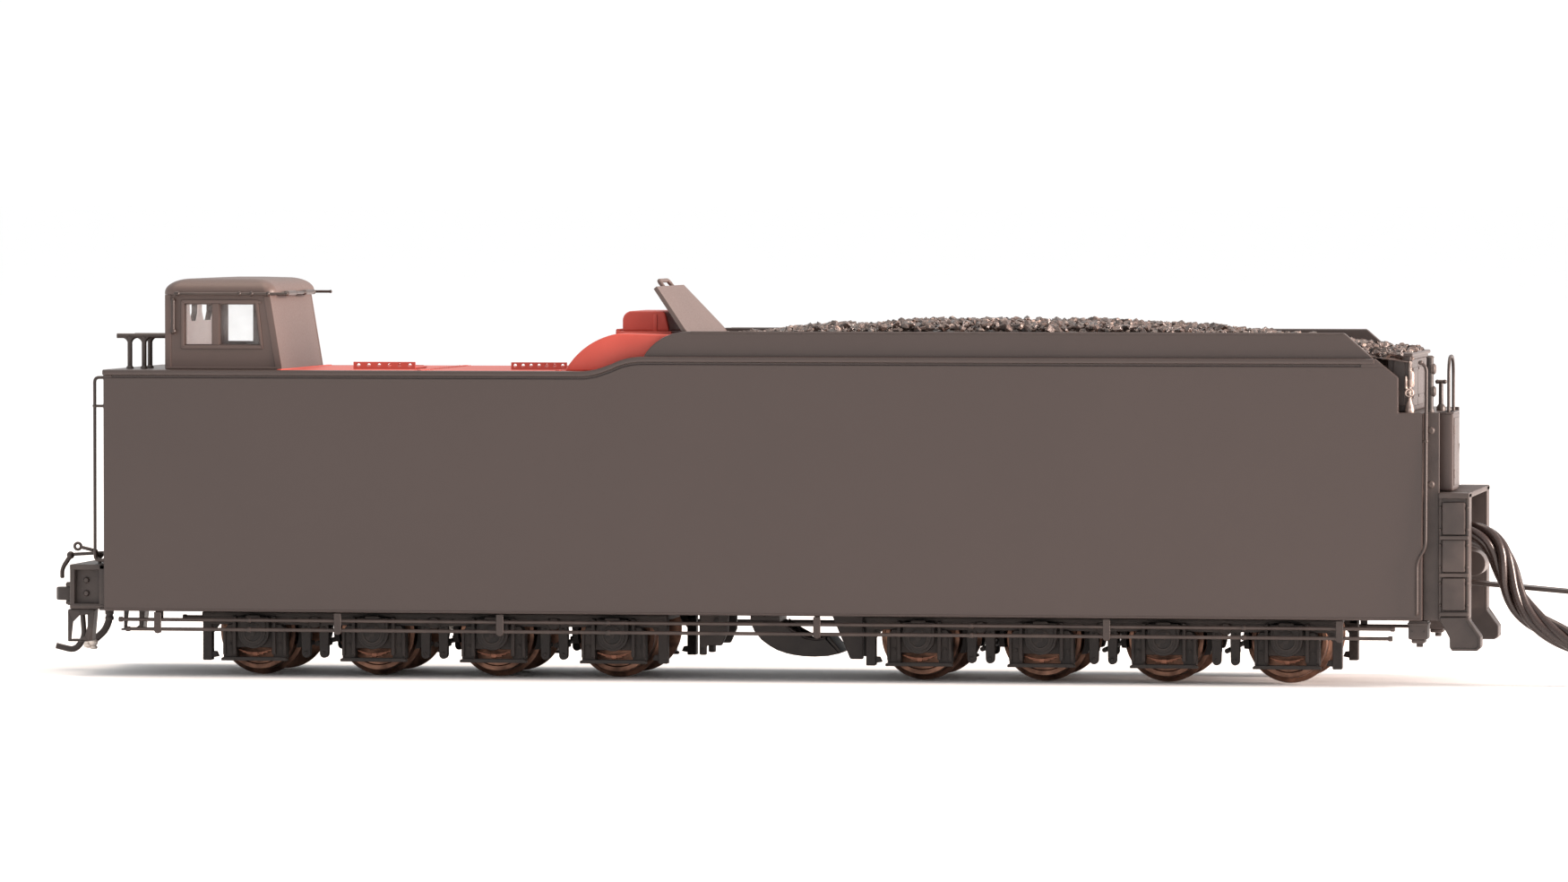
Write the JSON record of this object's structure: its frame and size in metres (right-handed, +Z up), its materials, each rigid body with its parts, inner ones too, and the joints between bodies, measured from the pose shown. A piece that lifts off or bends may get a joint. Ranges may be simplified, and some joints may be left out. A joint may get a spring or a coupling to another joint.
{
  "type": "model railway steam locomotive tender",
  "caption": "HO scale steam locomotive tender: slab-sided tank, coal bunker, rear deck cabin, multi-axle swivelling trucks, drawbar and wire tether.",
  "frame": {"origin": "bottom centre of the model's box without the tether, on the plane the wheel flanges stand on", "axes": "+X towards the engine end, +Y to the left side, +Z up"},
  "size_m": [0.2505, 0.0374, 0.0545],
  "materials": {
    "tank_paint": "satin dark grey-brown enamel",
    "red_paint": "matt red-oxide enamel",
    "coal": "crushed coal lumps, glossy facets",
    "black_plastic": "satin black moulding",
    "truck_plastic": "weathered black moulding",
    "black_wire": "black painted wire",
    "glazing": "clear window sheet",
    "wheel_metal": "blackened face, bronze rim",
    "bronze": "bare phosphor bronze",
    "weight_metal": "bare cast zinc",
    "board": "green circuit board",
    "speaker_case": "black speaker can",
    "screw_steel": "zinc plated",
    "valve_metal": "bare and dull cast fittings",
    "hose_rubber": "black rubber",
    "wire_rubber": "black stranded insulation",
    "plug_plastic": "black nylon"
  },
  "bodies": {
    "tender": {"tank_shell": "tank_paint", "rear_deck": "red_paint", "hump_casing": "red_paint", "coal_bulkhead": "tank_paint", "coal_load": "coal", "coal_gate": "tank_paint", "doghouse": "tank_paint", "doghouse_roof": "tank_paint", "doghouse_glazing": "glazing", "cabin_grab_rails": "black_wire", "rear_ladder": "black_wire", "deck_rails": "black_wire", "underframe": "black_plastic", "weight": "weight_metal", "circuit_board": "board", "speaker": "speaker_case", "body_screws": "screw_steel", "kingpin_screws": "screw_steel", "drawbar_screw": "screw_steel", "side_pipes": "black_wire", "water_scoop": "black_plastic", "rear_end_beam": "black_plastic", "rear_steps": "black_plastic", "coupler_box": "black_plastic", "uncoupling_lever": "black_wire", "air_hose": "hose_rubber", "rear_handrails": "black_wire", "front_handrails": "black_wire", "front_end_frame": "black_plastic", "near_front_steps": "black_plastic", "far_front_steps": "black_plastic", "front_cabinet": "tank_paint", "valve_handle": "black_wire", "front_valves": "valve_metal", "hose_boxes": "black_plastic", "tether_socket": "plug_plastic", "tether": "wire_rubber", "tether_plug": "plug_plastic"},
    "drawbar": {"drawbar": "black_wire"},
    "coupler": {"coupler": "black_plastic", "trip_pin": "black_wire"},
    "knuckle": {"coupler_knuckle": "black_plastic"},
    "filler_hood": {"filler_hood": "red_paint"},
    "rear_hatch_lid": {"rear_hatch_lid": "red_paint"},
    "front_hatch_lid": {"front_hatch_lid": "red_paint"},
    "rear_truck": {"rear_truck_frame": "truck_plastic", "rear_truck_near_side": "truck_plastic", "rear_truck_far_side": "truck_plastic", "rear_truck_springs": "bronze"},
    "rear_truck_axle_1": {"rear_truck_wheelset_1": "wheel_metal"},
    "rear_truck_axle_2": {"rear_truck_wheelset_2": "wheel_metal"},
    "rear_truck_axle_3": {"rear_truck_wheelset_3": "wheel_metal"},
    "rear_truck_axle_4": {"rear_truck_wheelset_4": "wheel_metal"},
    "front_truck": {"front_truck_frame": "truck_plastic", "front_truck_near_side": "truck_plastic", "front_truck_far_side": "truck_plastic", "front_truck_springs": "bronze"},
    "front_truck_axle_1": {"front_truck_wheelset_1": "wheel_metal"},
    "front_truck_axle_2": {"front_truck_wheelset_2": "wheel_metal"},
    "front_truck_axle_3": {"front_truck_wheelset_3": "wheel_metal"},
    "front_truck_axle_4": {"front_truck_wheelset_4": "wheel_metal"}
  },
  "joints": [
    {"name": "rear_truck_swivel", "type": "hinge", "parent": "tender", "child": "rear_truck", "pos_m": [-0.05369, 0, 0.0128], "axis": [0, 0, 1], "range_deg": [-4.5, 4.5]},
    {"name": "rear_truck_axle_1_roll", "type": "hinge", "parent": "rear_truck", "child": "rear_truck_axle_1", "pos_m": [-0.07866, 0, 0.00595], "axis": [0, 1, 0], "continuous": true},
    {"name": "rear_truck_axle_2_roll", "type": "hinge", "parent": "rear_truck", "child": "rear_truck_axle_2", "pos_m": [-0.06202, 0, 0.00595], "axis": [0, 1, 0], "continuous": true},
    {"name": "rear_truck_axle_3_roll", "type": "hinge", "parent": "rear_truck", "child": "rear_truck_axle_3", "pos_m": [-0.04537, 0, 0.00595], "axis": [0, 1, 0], "continuous": true},
    {"name": "rear_truck_axle_4_roll", "type": "hinge", "parent": "rear_truck", "child": "rear_truck_axle_4", "pos_m": [-0.02872, 0, 0.00595], "axis": [0, 1, 0], "continuous": true},
    {"name": "front_truck_swivel", "type": "hinge", "parent": "tender", "child": "front_truck", "pos_m": [0.03831, 0, 0.0128], "axis": [0, 0, 1], "range_deg": [-4.5, 4.5]},
    {"name": "front_truck_axle_1_roll", "type": "hinge", "parent": "front_truck", "child": "front_truck_axle_1", "pos_m": [0.01333, 0, 0.00595], "axis": [0, 1, 0], "continuous": true},
    {"name": "front_truck_axle_2_roll", "type": "hinge", "parent": "front_truck", "child": "front_truck_axle_2", "pos_m": [0.02999, 0, 0.00595], "axis": [0, 1, 0], "continuous": true},
    {"name": "front_truck_axle_3_roll", "type": "hinge", "parent": "front_truck", "child": "front_truck_axle_3", "pos_m": [0.04664, 0, 0.00595], "axis": [0, 1, 0], "continuous": true},
    {"name": "front_truck_axle_4_roll", "type": "hinge", "parent": "front_truck", "child": "front_truck_axle_4", "pos_m": [0.06328, 0, 0.00595], "axis": [0, 1, 0], "continuous": true},
    {"name": "drawbar_swing", "type": "hinge", "parent": "tender", "child": "drawbar", "pos_m": [0.07761, 0, 0.0136], "axis": [0, 0, 1], "range_deg": [-10, 10]},
    {"name": "coupler_swing", "type": "hinge", "parent": "tender", "child": "coupler", "pos_m": [-0.09939, 0, 0.0106], "axis": [0, 0, 1], "range_deg": [-8, 8], "stiffness_Nm_per_rad": 0.00005},
    {"name": "knuckle_open", "type": "hinge", "parent": "coupler", "child": "knuckle", "pos_m": [-0.10729, -0.002, 0.0106], "axis": [0, 0, 1], "range_deg": [0, 15], "stiffness_Nm_per_rad": 0.00002},
    {"name": "filler_hood_hinge", "type": "hinge", "parent": "tender", "child": "filler_hood", "pos_m": [-0.02959, 0, 0.0468], "axis": [0, -1, 0], "range_deg": [0, 85]},
    {"name": "rear_hatch_lid_hinge", "type": "hinge", "parent": "tender", "child": "rear_hatch_lid", "pos_m": [-0.06129, -0.0087, 0.04235], "axis": [1, 0, 0], "range_deg": [0, 90]},
    {"name": "front_hatch_lid_hinge", "type": "hinge", "parent": "tender", "child": "front_hatch_lid", "pos_m": [-0.03974, -0.0087, 0.04235], "axis": [1, 0, 0], "range_deg": [0, 90]}
  ]
}
